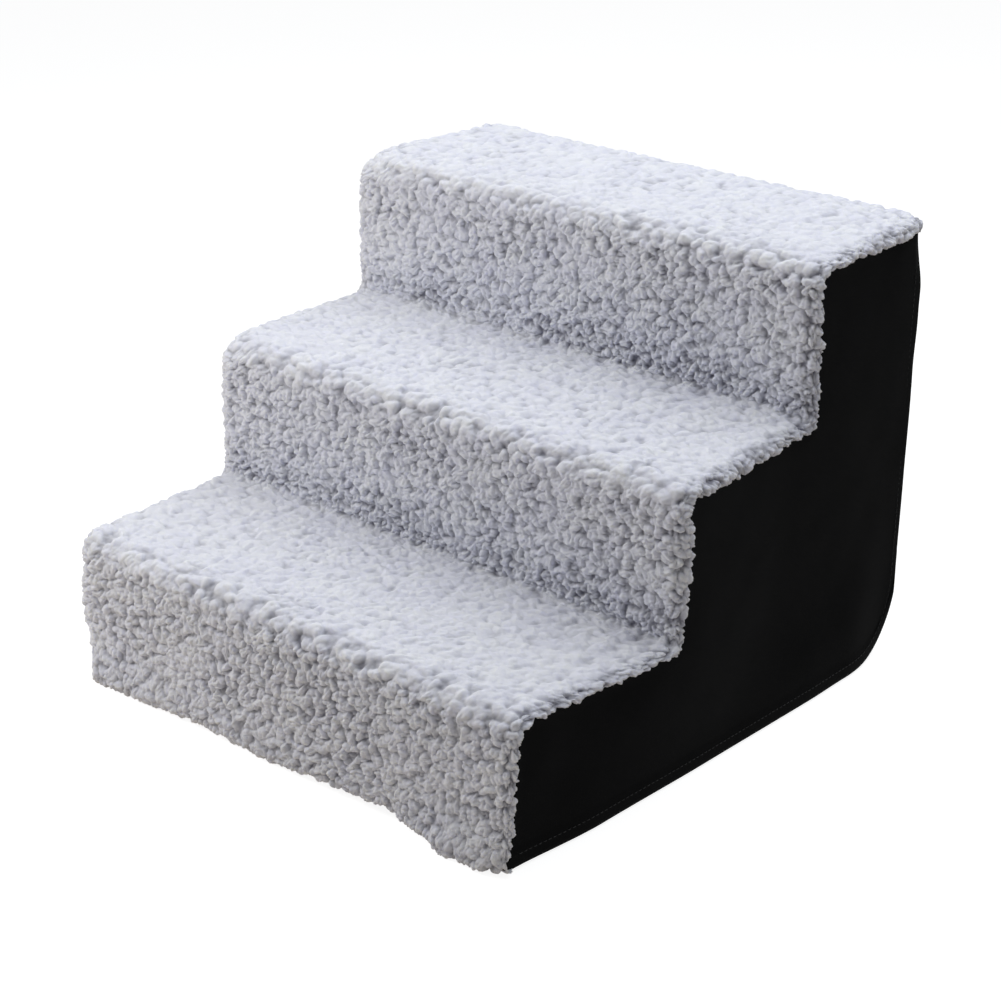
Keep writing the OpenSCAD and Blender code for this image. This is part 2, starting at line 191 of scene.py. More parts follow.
def stair_path():
    """The runner's outer side view, from its front hem over the three steps to the back."""
    corners = [(NOSE_Y[0] + HEM_BACK, HEM_Z), (NOSE_Y[0], HEM_Z)]
    for front, behind, top in zip(NOSE_Y, [*NOSE_Y[1:], BACK_Y], TREAD_Z):
        corners += [(front, top), (behind, top)]
    corners += [(BACK_Y, TREAD_Z[2] - REAR_DROP), (CLOTH_BACK_Y, TREAD_Z[2] - REAR_DROP)]
    radii = [HEM_R, NOSE_R, CROOK_R, NOSE_R, CROOK_R, NOSE_R, REAR_EDGE_R, REAR_DROP_R]
    return rounded_path(corners, radii)


def as_it_is(values):
    return values


def looked_up(table, x, y, ease):
    """Values between the places of a table that wraps round, blended by ease."""
    n = len(table)
    i, j = np.floor(x).astype(int), np.floor(y).astype(int)
    u, v = ease(x - i), ease(y - j)
    a, b = table[i % n, j % n], table[(i + 1) % n, j % n]
    c, d = table[i % n, (j + 1) % n], table[(i + 1) % n, (j + 1) % n]
    return (a * (1 - u) + b * u) * (1 - v) + (c * (1 - u) + d * u) * v


class Noise:
    """Smooth repeatable noise from -1 to 1 over a plane."""

    def __init__(self, seed, cell, size=256):
        self.table = np.random.default_rng(seed).uniform(-1, 1, (size, size))
        self.cell = cell

    def at(self, x, y):
        return looked_up(self.table, x / self.cell, y / self.cell, smoothstep)


class Billow:
    """Repeatable noise of about one wavelength; its zero lines are the grooves between soft lumps."""

    def __init__(self, seed, wave, spread=0.3, cell=0.5 * MM, size=1024):
        white = np.random.default_rng(seed).standard_normal((size, size))
        pitch = np.fft.fftfreq(size, cell)
        radius = np.hypot(pitch[:, None], pitch[None, :])
        band = np.exp(-(((radius * wave - 1) / spread) ** 2))
        table = np.fft.ifft2(np.fft.fft2(white) * band).real
        self.table = table / table.std()
        self.cell = cell

    def lumps(self, x, y):
        """Height of the lumps, from 0 in the grooves to about 1."""
        far = np.abs(looked_up(self.table, x / self.cell, y / self.cell, as_it_is))
        return np.tanh((far / 1.1) ** 0.7)


class Tufts:
    """Overlapping rounded tufts of one width on a jittered grid; a height from 0 to about 1."""

    def __init__(self, seed, width, size=192):
        rng = np.random.default_rng(seed)
        self.width, self.size = width, size
        self.cx = rng.uniform(0.04, 0.96, (size, size))
        self.cy = rng.uniform(0.04, 0.96, (size, size))
        angle = rng.uniform(0, math.pi, (size, size))
        self.c, self.s = np.cos(angle), np.sin(angle)
        self.long = rng.uniform(0.6, 1.0, (size, size))
        self.short = rng.uniform(0.44, 0.68, (size, size))
        self.top = rng.uniform(0.55, 1.0, (size, size))
        self.lean = rng.uniform(-0.5, 0.5, (size, size))

    def at(self, x, y):
        x, y = x / self.width, y / self.width
        i0, j0 = np.floor(x).astype(int), np.floor(y).astype(int)
        best, second = np.zeros_like(x), np.zeros_like(x)
        for di in (-1, 0, 1):
            for dj in (-1, 0, 1):
                i, j = i0 + di, j0 + dj
                k = (i % self.size, j % self.size)
                dx = x - i - self.cx[k]
                dy = y - j - self.cy[k]
                a = (dx * self.c[k] + dy * self.s[k]) / self.long[k]
                b = (dy * self.c[k] - dx * self.s[k]) / self.short[k]
                curled = b + 0.4 * (a * a - 0.3)
                dome = np.clip(1 - a * a - curled * curled, 0, 1) ** 0.6
                dome = self.top[k] * dome * (1 + self.lean[k] * a)
                second = np.maximum(second, np.minimum(best, dome))
                best = np.maximum(best, dome)
        groove = 1 - smoothstep((best - second) / 0.2)
        return best * (1 - 0.25 * groove)


WARPS = [Noise(11, 9 * MM), Noise(12, 9 * MM), Noise(13, 4 * MM), Noise(14, 4 * MM)]
SWELL = Noise(15, 26 * MM)
SWAY = Noise(16, 60 * MM)
TUFTS = [Tufts(21, TUFT), Tufts(24, BIG_TUFT), Tufts(25, SMALL_TUFT)]
CURLS = Billow(22, 0.95 * TUFT)
FLUFF = Billow(23, 0.42 * TUFT)


def pile(x, y, small_share, big_share):
    """Height of the curled pile from 0 to about 1 at places of the runner laid flat."""
    a, b, c, d = (warp.at(x, y) for warp in WARPS)
    wx = x + 1.3 * MM * a + 0.9 * MM * c
    wy = (y + 1.3 * MM * b + 0.9 * MM * d) / TUFT_STRETCH
    tufts, big, small = (kind.at(wx, wy) for kind in TUFTS)
    domes = tufts + big_share * (0.75 * big - 0.65 * tufts) + small_share * (0.8 * small - 0.7 * tufts)
    share = 0.34 - 0.2 * big_share - 0.1 * small_share
    fluff = 0.1 * (1 - big_share) * (FLUFF.lumps(wx, wy) - 0.5)
    return domes * (1 - share) + CURLS.lumps(wx, wy) * share + fluff


def side_cut(side):
    """Half of the runner's cross-section from its middle out: length across, x, depth and normal."""
    edge_r, lip_depth = EDGE_R[side], LIP_DEPTH[side]
    flat = HALF_W - edge_r
    tuck_r = min(ROLL_T - SEAT_GAP, lip_depth - edge_r)
    arc = edge_r * math.pi / 2
    lip = lip_depth - edge_r - tuck_r
    total = flat + arc + lip + tuck_r * math.pi / 2
    w = np.linspace(0, total, int(round(total / GRID)) + 1)
    a = np.clip((w - flat) / edge_r, 0, math.pi / 2)
    b = np.clip((w - flat - arc - lip) / tuck_r, 0, math.pi / 2)
    x = np.minimum(w, flat) + edge_r * np.sin(a) - tuck_r * (1 - np.cos(b))
    depth = edge_r * (1 - np.cos(a)) + np.clip(w - flat - arc, 0, lip) + tuck_r * np.sin(b)
    nx = np.where(b > 0, np.cos(b), np.sin(a))
    nd = np.where(b > 0, -np.sin(b), np.cos(a))
    rolled = smoothstep((w - flat) / edge_r)
    border = smoothstep((depth - edge_r * 0.6) / (lip_depth - edge_r * 0.6))
    fade = smoothstep((total - w) / (ROLL_T * 1.2))
    return np.stack([w, x, depth, nx, nd, rolled, border, fade])


def whole_cut():
    """The whole cross-section from the left lip's end to the right one's."""
    left = side_cut(0)[:, :0:-1] * np.array([-1, -1, 1, -1, 1, 1, 1, 1])[:, None]
    return np.concatenate([left, side_cut(1)], 1)


# How far the soft cover's sides stand off the CAD outline, read from the photo, and their lower edges
SWELL_Y = np.array([-204, -165, -64, 78, 204]) * MM
RIGHT_SWELL = np.array([1.5, 3.9, 14.0, 4.5, 4.0]) * MM
LEFT_SWELL = np.array([7.5, 13.0, 16.6, 16.8, 0.5]) * MM
FOOT_Y = np.array([-204, -122, -24, 88, 130, 204]) * MM
RIGHT_FOOT = np.array([2.0, 8.0, 9.5, 10.0, 9.0, 0.5]) * MM
LEFT_FOOT = np.array([-6.0, 6.0, 10.0, 12.0, 10.0, 0.0]) * MM
FOOT_H = 80 * MM
REAR_FOOT_H = 180 * MM
# The bulge of the lowest riser's left edge
PUFF_OUT = 16.5 * MM
PUFF_Z = 34 * MM
PUFF_H = 26 * MM
# How far the left corners of the two upper steps are drawn in and down, and over what width
NIP_IN = 8.5 * MM
NIP_DOWN = 6 * MM
NIP_W = 17 * MM
# How far the rear bulges or is drawn in at heights
REAR_Z = np.array([61, 128, 204, 245, 266, 300]) * MM
REAR_OUT = np.array([-0.5, 0.0, 2.2, 5.0, 6.0, 4.5]) * MM
# Front hem's places across, how far it hangs down and how far forward
HEM_X = np.array([-200, -184, -150, -78, -14, 60, 98, 115, 130, 151, 164, 178, 200]) * MM
HEM_DROP = np.array([1.6, 1.6, 1.4, -1.0, 0.6, -2.0, -3.0, -0.8, 0.2, 1.7, 1.2, 1.7, -0.8]) * MM
HEM_OUT = np.array([0.5, 8.0, 6.5, 3.0, 3.0, 0.0, -1.6, 2.2, 3.0, 9.5, 8.0, 7.0, 0.3]) * MM
HEM_H = 34 * MM
# Where each nose and each riser's foot lies off the outline, towards the back
NOSE_SHIFT = np.array([4.3, 2.8, 2.7]) * MM
FOOT_SHIFT = np.array([-4.0, 0.0, 0.0]) * MM
TOP_LIFT = 2.2 * MM
TOP_TILT = 1.6 * MM
# Rounding of the top rear corners, seen from above: left, right
FLEECE_CORNER_R = (19 * MM, 16 * MM)
CLOTH_CORNER_R = (12 * MM, 9 * MM)
# How far in the cloth may go before it meets the frame
CLOTH_PLAY = 1 * MM
# Where each form sets in, and the length over which it grows; one below 0 grows the other way
REAR_FOOT_ZONE = (110 * MM, 90 * MM)
PUFF_ZONE = (-120 * MM, -60 * MM)
HEM_ZONE = (NOSE_Y[0] + 45 * MM, -30 * MM)
REAR_ZONE = (120 * MM, 70 * MM)
TOP_ZONE = (NOSE_Y[2], 80 * MM)
TOP_LEVEL = (TREAD_Z[1] + 60 * MM, 35 * MM)
CORNER_LEVEL = (TREAD_Z[1] + 55 * MM, 35 * MM)
LEFT_EDGE = (-0.8, -0.2)
# How far from a riser its lean is felt, and over what length it fades above and below
LEAN_RUN = 34 * MM
LEAN_FADE = 12 * MM


def grown(at, zone):
    """How far a form has grown at places, from 0 to 1; a zone is its start and its length."""
    return smoothstep((at - zone[0]) / zone[1])


def between(at, places, values):
    """Smooth values between places."""
    k = np.clip(np.searchsorted(places, at) - 1, 0, len(places) - 2)
    t = smoothstep((at - places[k]) / (places[k + 1] - places[k]))
    return values[k] * (1 - t) + values[k + 1] * t


def to_round(u, v):
    """The share to which places past the centre of a square corner are pulled in to make it round."""
    return np.where((u > 0) & (v > 0), np.maximum(u, v) / np.maximum(np.hypot(u, v), 1e-9), 1)


def round_corner(x, y, side, r, share):
    """Pulls places near a top rear corner in to radius r, by a share of the way."""
    u = np.clip((side * x - (HALF_W - r)) / r, 0, None)
    v = np.clip((y - (BACK_Y - r)) / r, 0, None)
    pull = (1 - to_round(u, v)) * share
    return x - side * u * r * pull, y - v * r * pull


def side_out(side, y, z, least):
    """How far the cover's sides stand off the outline, by least or more; side runs from -1 to 1."""
    swell = np.where(side > 0, between(y, SWELL_Y, RIGHT_SWELL), between(y, SWELL_Y, LEFT_SWELL))
    foot = np.where(side > 0, between(y, FOOT_Y, RIGHT_FOOT), between(y, FOOT_Y, LEFT_FOOT))
    low = smoothstep(1 - z / (FOOT_H + (REAR_FOOT_H - FOOT_H) * grown(y, REAR_FOOT_ZONE)))
    puff = PUFF_OUT * np.exp(-(((z - PUFF_Z) / PUFF_H) ** 2)) * grown(y, PUFF_ZONE)
    swell = swell + puff * (side < 0)
    return side * np.abs(side) * np.maximum(swell * (1 - low) + foot * low, least)


def riser_lean(i, y, z):
    """How far riser i lies off the outline, towards the back."""
    foot_z = HEM_Z if i == 0 else TREAD_Z[i - 1]
    near = np.exp(-(((y - NOSE_Y[i]) / LEAN_RUN) ** 2))
    near = near * smoothstep((z - foot_z) / LEAN_FADE + 1) * smoothstep((TREAD_Z[i] - z) / LEAN_FADE + 1)
    rise = np.clip((z - foot_z) / (TREAD_Z[i] - foot_z), 0, 1)
    return near * (FOOT_SHIFT[i] * (1 - rise) + NOSE_SHIFT[i] * rise)


def corner_nip(i, side, y, z):
    """How much step i's left corner is drawn in, from 0 to 1."""
    far = np.hypot(y - NOSE_Y[i], z - TREAD_Z[i]) / NIP_W
    return np.exp(-(far**2)) * grown(side, LEFT_EDGE)


def soften(p, corner_r, least=-HALF_W):
    """Moves points of the cover as it bulges and leans in the photo; its sides go out by least or more."""
    x, y, z = p.T
    side = np.clip(x / CLOTH_X, -1, 1)
    nips = sum(corner_nip(i, side, y, z) for i in (1, 2))
    lean = sum(riser_lean(i, y, z) for i in range(3))
    hem = smoothstep(1 - (z - HEM_Z) / HEM_H) * grown(y, HEM_ZONE)
    rear = grown(y, REAR_ZONE) * between(z, REAR_Z, REAR_OUT)
    top = grown(z, TOP_LEVEL) * grown(y, TOP_ZONE)
    out = p.copy()
    out[:, 0] += side_out(side, y, z, least) + nips * NIP_IN
    out[:, 1] += lean - hem * between(x, HEM_X, HEM_OUT) + rear
    out[:, 2] += top * (TOP_LIFT + TOP_TILT * side) - nips * NIP_DOWN - hem * between(x, HEM_X, HEM_DROP)
    for way, r in zip((-1, 1), corner_r):
        out[:, 0], out[:, 1] = round_corner(out[:, 0], out[:, 1], way, r, grown(z, CORNER_LEVEL))
    return out


def new_mesh(name, points, loops, counts, smooth=True):
    """A mesh object from flat arrays of points, corner indices and corners per face."""
    mesh = bpy.data.meshes.new(name)
    mesh.vertices.add(len(points))
    mesh.vertices.foreach_set("co", points.astype(np.float32).ravel())
    mesh.loops.add(len(loops))
    mesh.loops.foreach_set("vertex_index", loops.astype(np.int32))
    mesh.polygons.add(len(counts))
    starts = np.concatenate([[0], np.cumsum(counts)[:-1]])
    mesh.polygons.foreach_set("loop_start", starts.astype(np.int32))
    mesh.polygons.foreach_set("loop_total", counts.astype(np.int32))
    mesh.polygons.foreach_set("use_smooth", np.full(len(counts), smooth))
    mesh.update(calc_edges=True)
    mesh.validate()
    obj = bpy.data.objects.new(name, mesh)
    bpy.context.scene.collection.objects.link(obj)
    return obj


def bell(s, middles, width):
    """1 at each of the middles, falling off over width."""
    return np.max([np.exp(-(((s - mid) / width) ** 2)) for mid in middles], axis=0)


def rounded_off(height, share):
    """Heights with their creases rounded off by a share of the way."""
    soft = height
    for axis in (0, 1, 0, 1):
        ends = [(1, 1) if k == axis else (0, 0) for k in (0, 1)]
        wide = np.moveaxis(np.pad(soft, ends, mode="edge"), axis, 0)
        soft = np.moveaxis((wide[:-2] + 2 * wide[1:-1] + wide[2:]) / 4, 0, axis)
    return height * (1 - share) + soft * share


def end_shrink(s):
    """The share of its thickness that the runner keeps at lengths s."""
    front = 1 - (1 - HEM_SHRINK) * smoothstep((HEM_END + SHRINK_RUN - s) / SHRINK_RUN)
    return front * (1 - (1 - REAR_SHRINK) * smoothstep((s - REAR_START + SHRINK_RUN) / SHRINK_RUN))


def right_lip(s):
    """Depth of the right lip at lengths s, as a share of its full depth."""
    places = np.array(sorted([HEM_END + LIP_FOOT, *MIDDLES, *NOSE_MIDS, *CROOK_MIDS]))
    return between(s, places, RIGHT_LIP) / LIP_DEPTH[1]


def lip_turn(s):
    """How far the runner has turned at lengths s, beyond an even turn from one middle to the next."""
    turned = bend(PARTS, s)
    return turned - np.interp(s, MIDDLES, bend(PARTS, MIDDLES))


def scallops(s, turned, is_right):
    """How far the tufts along each lip's border move it."""
    rim = s + RIM_R * turned
    left, right = (pile(rim, np.full_like(s, across), 0, 0.5) - 0.5 for across in (0.31, 0.77))
    return LIP_SCALLOP * np.where(is_right, right[:, None], left[:, None])


def pile_reach(S, W, rolled, nose, foot, level):
    """How far the tufts stand out of the runner."""
    tall = (RISER_PILE + (TREAD_PILE - RISER_PILE) * level) * (1 + 0.2 * nose) * (1 + 0.12 * foot)
    tall = tall * (1 - rolled) + ROLL_PILE * rolled
    tall = tall * (1 + 0.14 * SWELL.at(S, W)) * (1 + 0.08 * (1 - level) * W / HALF_W)
    return tall * (1 - 0.5 * smoothstep((S - REAR_START) / REAR_FADE))


def pile_height(S, W, on_lip, rolled, nose, foot, level):
    """Height of the tufts: finer at the risers' feet, bigger on the noses, rounded off on the treads."""
    small_share = np.clip(0.8 * foot + 0.3 * SWAY.at(S, W), 0, 1)
    big_nose = nose * (0.6 + 0.5 * SWELL.at(W, S))
    big_share = np.clip(big_nose + 0.65 * level + 0.2 * SWAY.at(W, S), 0, 1)
    height = pile(S + on_lip, W, small_share, big_share)
    return rounded_off(height, 0.6 * level * (1 - 0.8 * rolled))


def backing(s, point, inward):
    """The runner's plain back: straight across, a little inside the tufts, from lip to lip."""
    x = np.linspace(CLOTH_X + SEAT_GAP, -CLOTH_X - SEAT_GAP, UNDER_COLUMNS + 1)
    thick = np.tile(np.full_like(x, FLEECE_T), (len(s), 1))
    low_step = smoothstep((MIDDLES[2] - s) / (MIDDLES[2] - MIDDLES[1]))
    thick[:, 0] = RIGHT_INSET[1] + (RIGHT_INSET[0] - RIGHT_INSET[1]) * low_step - SEAT_GAP
    y = point[:, 0:1] + inward[:, 0:1] * thick
    z = point[:, 1:2] + inward[:, 1:2] * thick
    return np.stack([np.broadcast_to(x, y.shape), y, z], 2)


def runner_surface(s):
    """The runner at lengths s: rings of points round its section, their normals and the pile's painted
    shade.
    """
    point, normal = along(PARTS, s)
    w, x, depth, nx, nd, rolled, border, fade = whole_cut()
    S, W = np.meshgrid(s, w, indexing="ij")
    nose = bell(s, NOSE_MIDS, NOSE_RUN)[:, None]
    foot = bell(s, [mid + FOOT_PAST for mid in CROOK_MIDS], FOOT_RUN)[:, None]
    level = smoothstep(normal[:, 1:2])
    shrink = end_shrink(s)[:, None]
    at_nose = 1 - (1 - NOSE_SHRINK) * nose
    turned = lip_turn(s)
    far = depth * np.where(W > 0, right_lip(s)[:, None], at_nose)

    # Round each turn a lip is longer or shorter than the runner's middle, and its tufts keep their size
    tall = pile_reach(S, W, rolled, nose, foot, level)
    height = pile_height(S, W, shrink * far * turned[:, None], rolled, nose, foot, level)
    push = tall * (height - 0.5) * fade
    far = far + scallops(s, turned, W > 0) * border
    off = push * nd - shrink * far
    Y = point[:, 0:1] + off * normal[:, 0:1]
    Z = point[:, 1:2] + off * normal[:, 1:2]
    outside = np.stack([x + push * nx, Y, Z], 2)
    back = backing(s, point, -normal * (shrink * at_nose))

    # Under the hem both lips tuck in behind the side cloths
    rings = np.concatenate([outside, back], 1)
    tuck = HEM_TUCK * smoothstep((0.7 * HEM_END - s) / (0.7 * HEM_END))
    rings[:, :, 0] *= 1 - tuck[:, None] / HALF_W
    rings = soften(rings.reshape(-1, 3), FLEECE_CORNER_R).reshape(rings.shape)
    rings[:, :, 2] = np.maximum(rings[:, :, 2], FLOOR_GAP)
    plain = np.zeros_like(back)
    plain[:, :, 1:] = -normal[:, None, :]
    normals = np.concatenate([grid_normals(rings[:, : len(w)]), plain], 1)
    # Painted shade: the pile's colour is darker the deeper a place lies in the grooves between the tufts
    light = 1 - tall * (1 - height) / RISER_PILE
    # Painted highlight on the noses, painted shade at the risers' feet and on the treads' rolled lips
    light = light + FOOT_PAINTED_SHADE * foot + NOSE_PAINTED_LIGHT * nose + LIP_PAINTED_SHADE * rolled * level
    light = light * fade + EDGE_SHADE * (1 - fade)
    shade = np.concatenate([light, np.full(back.shape[:2], BACK_SHADE)], 1)
    return rings, normals, shade, len(w)


def grid_normals(grid):
    """Outward normals of a grid of points whose rows run up the runner and columns to the right."""
    up = np.gradient(grid, axis=0)
    right = np.gradient(grid, axis=1)
    n = np.cross(right, up)
    return n / np.maximum(np.linalg.norm(n, axis=2, keepdims=True), 1e-12)


def tube(rings, sides):
    """Corner indices and corners per face of a closed tube: rings of quads between two ends."""
    k, a = np.meshgrid(np.arange(rings - 1), np.arange(sides), indexing="ij")
    b = (a + 1) % sides
    quads = [k * sides + a, k * sides + b, (k + 1) * sides + b, (k + 1) * sides + a]
    ends = [np.arange(sides)[::-1], (rings - 1) * sides + np.arange(sides)]
    counts = np.concatenate([np.full((rings - 1) * sides, 4), [sides, sides]])
    return np.concatenate([np.stack(quads, 2).ravel(), *ends]), counts


def fleece_piece(name, rings, normals, shade, outer):
    """A stretch of the runner as a closed mesh: tufted outside, plain backing inside."""
    rows, count = rings.shape[:2]
    obj = new_mesh(name, rings.reshape(-1, 3), *tube(rows, count))
    # The pile's painted shade on each point: darker in the grooves and at the risers' feet, lighter on the
    # noses
    values = obj.data.attributes.new("pile", "FLOAT", "POINT")
    values.data.foreach_set("value", shade.ravel().astype(np.float32))
    lay_out(obj, rows, count, outer)
    obj.data.normals_split_custom_set_from_vertices(normals.reshape(-1, 3).tolist())
    return obj


def lay_out(obj, rows, count, outer):
    """The runner laid flat as the piece's one UV map: the pile on most of it, the backing beside it."""
    share = np.concatenate([np.linspace(0.01, 0.93, outer), np.linspace(0.94, 0.98, count - outer)])
    share = np.append(share, 0.99)
    r, c = np.meshgrid(np.arange(rows - 1), np.arange(count), indexing="ij")
    v0, v1 = 0.05 + 0.9 * r / (rows - 1), 0.05 + 0.9 * (r + 1) / (rows - 1)
    u0, u1 = share[c], share[c + 1]
    quads = np.stack([u0, v0, u1, v0, u1, v1, u0, v1], 2).reshape(-1, 2)
    lift = np.where(np.arange(count) < outer, 0.03, 0.0)
    across = np.concatenate([np.linspace(0.01, 0.99, outer), np.linspace(0.99, 0.01, count - outer)])
    low_cap = np.stack([across, 0.005 + lift], 1)[::-1]
    high_cap = np.stack([across, 0.995 - lift], 1)
    uv = np.concatenate([quads, low_cap, high_cap])
    layer = obj.data.uv_layers.new(name="OFBake")
    layer.uv.foreach_set("vector", uv.astype(np.float32).ravel())


# Materials
def material(name, roughness, **fixed):
    """A material with one Principled shader, its constants set on its own sockets."""
    made = bpy.data.materials.new(name)
    made.use_nodes = True
    shader = made.node_tree.nodes["Principled BSDF"]
    shader.inputs["Roughness"].default_value = roughness
    for socket, value in fixed.items():
        shader.inputs[socket.replace("_", " ")].default_value = value
    return made, made.node_tree, shader


def node(tree, kind, links=None, **settings):
    """A shader node with its settings, and with outputs of other nodes linked to its inputs."""
    made = tree.nodes.new("ShaderNode" + kind)
    for key, value in settings.items():
        if hasattr(made, key):
            setattr(made, key, value)
        else:
            made.inputs[key.replace("_", " ")].default_value = value
    for place, output in (links or {}).items():
        tree.links.new(output, made.inputs[place])
    return made


def ramp(tree, source, stops):
    """Colours between stops, each (place, (r, g, b))."""
    made = node(tree, "ValToRGB", {"Fac": source})
    elements = made.color_ramp.elements
    for element, (place, colour) in zip(elements, (stops[0], stops[-1])):
        element.position, element.color = place, (*colour, 1)
    for place, colour in stops[1:-1]:
        elements.new(place).color = (*colour, 1)
    return made.outputs["Color"]


def paint(tree, shader, source, stops):
    tree.links.new(ramp(tree, source, stops), shader.inputs["Base Color"])


def bump(tree, shader, height, distance, strength=1.0, under=None):
    links = {"Height": height} if under is None else {"Height": height, "Normal": under}
    made = node(tree, "Bump", links, Strength=strength, Distance=distance)
    tree.links.new(made.outputs["Normal"], shader.inputs["Normal"])
    return made.outputs["Normal"]


def on_object(tree):
    return node(tree, "TexCoord").outputs["Object"]


def noise(tree, scale, detail=3.0, where=None):
    links = {"Vector": on_object(tree) if where is None else where}
    return node(tree, "TexNoise", links, Scale=scale, Detail=detail).outputs["Fac"]


def fleece_material():
    made, tree, shader = material("fleece_pile", 0.95, Specular_IOR_Level=0.1, Sheen_Weight=0.32,
                                  Sheen_Roughness=0.5, Subsurface_Weight=0.35,
                                  Subsurface_Radius=(0.0016, 0.0016, 0.002), Subsurface_Scale=1.0)
    # Painted shade: the 'pile' attribute makes the colour darker down in the grooves between tufts and at
    # the risers' feet, lighter on the tufts' tops and noses
    pile_painted_shade = node(tree, "Attribute", attribute_name="pile").outputs["Fac"]
    colour = ramp(tree, pile_painted_shade, [(0.0, (0.3, 0.3, 0.35)), (0.22, (0.52, 0.525, 0.58)),
                               (0.5, (0.79, 0.8, 0.87)), (0.85, (0.88, 0.89, 0.95))])
    tint = ramp(tree, noise(tree, 45, 2), [(0.35, (0.95, 0.95, 0.97)), (0.65, (1.0, 1.0, 0.99))])
    mix = node(tree, "Mix", {6: colour, 7: tint}, data_type="RGBA", blend_type="MULTIPLY")
    mix.inputs[0].default_value = 1.0
    tree.links.new(mix.outputs[2], shader.inputs["Base Color"])
    ridges = node(tree, "TexNoise", {"Vector": on_object(tree)}, noise_type="RIDGED_MULTIFRACTAL",
                  Scale=420.0, Detail=3.0)
    curls = bump(tree, shader, ridges.outputs["Fac"], 0.4 * MM, 0.35)
    bump(tree, shader, noise(tree, 1100, 3), 0.4 * MM, 0.6, curls)
    return made


def cloth_material():
    made, tree, shader = material("black_woven_cloth", 0.85, Specular_IOR_Level=0.05)
    place = on_object(tree)
    weave = [node(tree, "TexWave", {"Vector": place}, wave_type="BANDS", bands_direction=direction,
                  Scale=260, Distortion=0.6, Detail=1.0).outputs["Fac"] for direction in ("Y", "Z")]
    high = node(tree, "Math", {0: weave[0], 1: weave[1]}, operation="MAXIMUM")
    paint(tree, shader, noise(tree, 30, 3, place), [(0.3, (0.0038, 0.004, 0.0042)),
                                                    (0.7, (0.0055, 0.0056, 0.006))])
    bump(tree, shader, high.outputs[0], 0.12 * MM, 0.6)
    return made


def moulded_material(name, dark, light, roughness, grain):
    """Moulded plastic or rubber: fine grain and faint blotches."""
    made, tree, shader = material(name, roughness)
    paint(tree, shader, noise(tree, 14, 4), [(0.3, dark), (0.7, light)])
    fine = bump(tree, shader, noise(tree, 1800, 2), grain, 0.4)
    bump(tree, shader, noise(tree, 60, 2), 0.25 * MM, 0.2, fine)
    return made


def steel_material():
    made, tree, shader = material("zinc_plated_tube", 0.34, Metallic=1.0)
    long_way = node(tree, "Mapping", {"Vector": on_object(tree)}, Scale=(6, 900, 900))
    lines = noise(tree, 1, 4, long_way.outputs["Vector"])
    paint(tree, shader, lines, [(0.3, (0.5, 0.51, 0.53)), (0.7, (0.66, 0.67, 0.69))])
    bump(tree, shader, lines, 0.05 * MM, 0.4)
    return made


def tape_material(name, gap_painted_shade, colour_high, scale, height):
    """Hook or loop tape: a close field of small stems over a woven ground."""
    made, tree, shader = material(name, 0.8, Specular_IOR_Level=0.3)
    far = node(tree, "TexVoronoi", {"Vector": on_object(tree)}, Scale=scale).outputs["Distance"]
    # Painted shade: the colour darkens from the stems' tops down into the gaps between them
    paint(tree, shader, far, [(0.1, colour_high), (0.6, gap_painted_shade)])
    stems = node(tree, "Math", {1: far}, operation="SUBTRACT")
    stems.inputs[0].default_value = 1.0
    bump(tree, shader, stems.outputs[0], height, 0.8)
    return made


def dress(obj, made):
    obj.data.materials.clear()
    obj.data.materials.append(made)


def fit(piece, made_of, body, replaced=None):
    """Gives a piece its finish and body, and hides the node that it is shown for."""
    dress(piece, made_of)
    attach(piece, body)
    if replaced:
        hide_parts(replaced)


PLASTIC = moulded_material("moulded_board", (0.030, 0.031, 0.033), (0.040, 0.041, 0.043), 0.52, 0.12 * MM)
NYLON = moulded_material("moulded_pin", (0.045, 0.045, 0.047), (0.056, 0.056, 0.058), 0.42, 0.06 * MM)
RUBBER = moulded_material("moulded_rubber", (0.016, 0.016, 0.017), (0.024, 0.024, 0.025), 0.8, 0.15 * MM)
STEEL = steel_material()
HOOK = tape_material("hook_tape", (0.008, 0.008, 0.008), (0.03, 0.03, 0.03), 900, 0.5 * MM)
LOOP = tape_material("loop_tape", (0.010, 0.010, 0.010), (0.025, 0.025, 0.026), 650, 0.4 * MM)
FLEECE = fleece_material()
CLOTH = cloth_material()
THREAD = moulded_material("black_thread", (0.0045, 0.0045, 0.005), (0.007, 0.007, 0.0075), 0.75, 0.04 * MM)

BY_SLOT = {"frame_board": PLASTIC, "push_pin": NYLON, "rubber": RUBBER, "tie_tube": STEEL,
           "hook_strip": HOOK, "loop_strip": LOOP, "fleece": FLEECE, "black_cloth": CLOTH}
for part in frame["record"]["subparts"]:
    dress(frame["nodes"][part["node"]], BY_SLOT[part["material_slot"]])


# The fleece runner and the places along its path where its meshes meet
PARTS, RUN = stair_path()
ARCS = [p for p in PARTS if p[0] == "arc"]
HEM_END = ARCS[0][1] + ARCS[0][2]
REAR_START = ARCS[6][1]
NOSE_MIDS = [ARCS[k][1] + ARCS[k][2] / 2 for k in (1, 3, 5)]
CROOK_MIDS = [ARCS[k][1] + ARCS[k][2] / 2 for k in (2, 4)]
TURNS = sorted([0.0, *NOSE_MIDS, *CROOK_MIDS, RUN])
MIDDLES = [(a + b) / 2 for a, b in zip(TURNS, TURNS[1:])]
STRETCHES = ("riser_low", "tread_low", "riser_mid", "tread_mid", "riser_top", "tread_top")


def ring_places(a, b):
    """Lengths from a to b, closer together in the crooks, where the lips fan out."""
    fine = np.linspace(a, b, 1500)
    per_length = (1 + 1.2 * bell(fine, CROOK_MIDS, 6 * MM)) / GRID
    count = np.cumsum((per_length[1:] + per_length[:-1]) / 2 * np.diff(fine))
    count = np.concatenate([[0], count])
    return np.interp(np.linspace(0, count[-1], int(round(count[-1])) + 1), count, fine)


